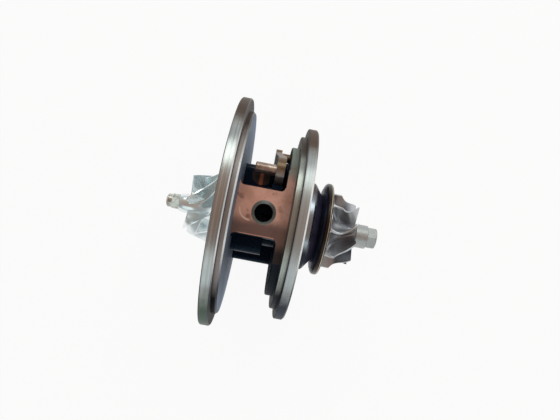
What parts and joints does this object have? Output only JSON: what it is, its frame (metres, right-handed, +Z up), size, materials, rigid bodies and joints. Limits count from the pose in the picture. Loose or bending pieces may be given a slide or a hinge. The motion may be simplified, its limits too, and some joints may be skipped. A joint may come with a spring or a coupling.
{
  "type": "turbocharger cartridge",
  "caption": "Turbocharger centre cartridge: stepped bearing housing with oil inlet, bladed compressor and turbine wheels on one shaft, and a swinging vane lever.",
  "frame": {"origin": "on the shaft axis in the middle of the compressor-side locating rim, the face that a compressor cover is clamped on", "axes": "+X along the shaft from the compressor wheel to the turbine wheel, +Z up out of the oil inlet, +Y to the side that carries the vane lever"},
  "size_m": [0.1183, 0.1256, 0.1256],
  "materials": {
    "cast_housing": "cast, with turned flanges",
    "turned_aluminium": "turned",
    "rubber_ring": "moulded",
    "screw_steel": "satin",
    "sheet_steel": "stamped",
    "bearing_brass": "turned",
    "ring_iron": "ground",
    "scaled_steel": "dark oxide scale",
    "ground_steel": "ground",
    "cast_nickel_alloy": "satin casting",
    "cast_aluminium": "blasted casting",
    "nut_steel": "satin",
    "lever_steel": "satin, warm"
  },
  "bodies": {
    "housing": {"bearing_housing": "cast_housing", "compressor_flange": "cast_housing", "turbine_flange": "cast_housing", "seal_plate": "turned_aluminium", "seal_plate_o_ring": "rubber_ring", "seal_plate_screws": "screw_steel", "oil_deflector": "sheet_steel", "thrust_bearing": "bearing_brass", "thrust_dowels": "screw_steel", "compressor_piston_ring": "ring_iron", "turbine_piston_ring": "ring_iron", "bearing_circlips": "sheet_steel", "heat_shield": "scaled_steel", "spindle_bush": "bearing_brass"},
    "rotor": {"rotor_shaft": "ground_steel", "turbine_wheel": "cast_nickel_alloy", "compressor_wheel": "cast_aluminium", "compressor_nut": "nut_steel", "oil_flinger": "ground_steel", "thrust_sleeve": "ground_steel", "thrust_washer": "ground_steel"},
    "bearing_a": {"journal_bearing_compressor_side": "bearing_brass"},
    "bearing_b": {"journal_bearing_turbine_side": "bearing_brass"},
    "lever": {"vane_lever": "lever_steel", "vane_lever_pin": "lever_steel", "vane_spindle": "lever_steel", "inner_crank": "lever_steel"},
    "block": {"crank_block": "ground_steel"}
  },
  "joints": [
    {"name": "rotor_spin", "type": "hinge", "parent": "housing", "child": "rotor", "pos_m": [0, 0, 0], "axis": [1, 0, 0], "continuous": true},
    {"name": "bearing_a_spin", "type": "hinge", "parent": "housing", "child": "bearing_a", "pos_m": [0.0168, 0, 0], "axis": [1, 0, 0], "continuous": true},
    {"name": "bearing_b_spin", "type": "hinge", "parent": "housing", "child": "bearing_b", "pos_m": [0.0377, 0, 0], "axis": [1, 0, 0], "continuous": true},
    {"name": "lever_swing", "type": "hinge", "parent": "housing", "child": "lever", "pos_m": [0.023, 0.0355, 0], "axis": [1, 0, 0], "range_deg": [-45, 0]},
    {"name": "block_turn", "type": "hinge", "parent": "lever", "child": "block", "pos_m": [0.0401, 0.03167, 0.00924], "axis": [1, 0, 0], "continuous": true}
  ]
}
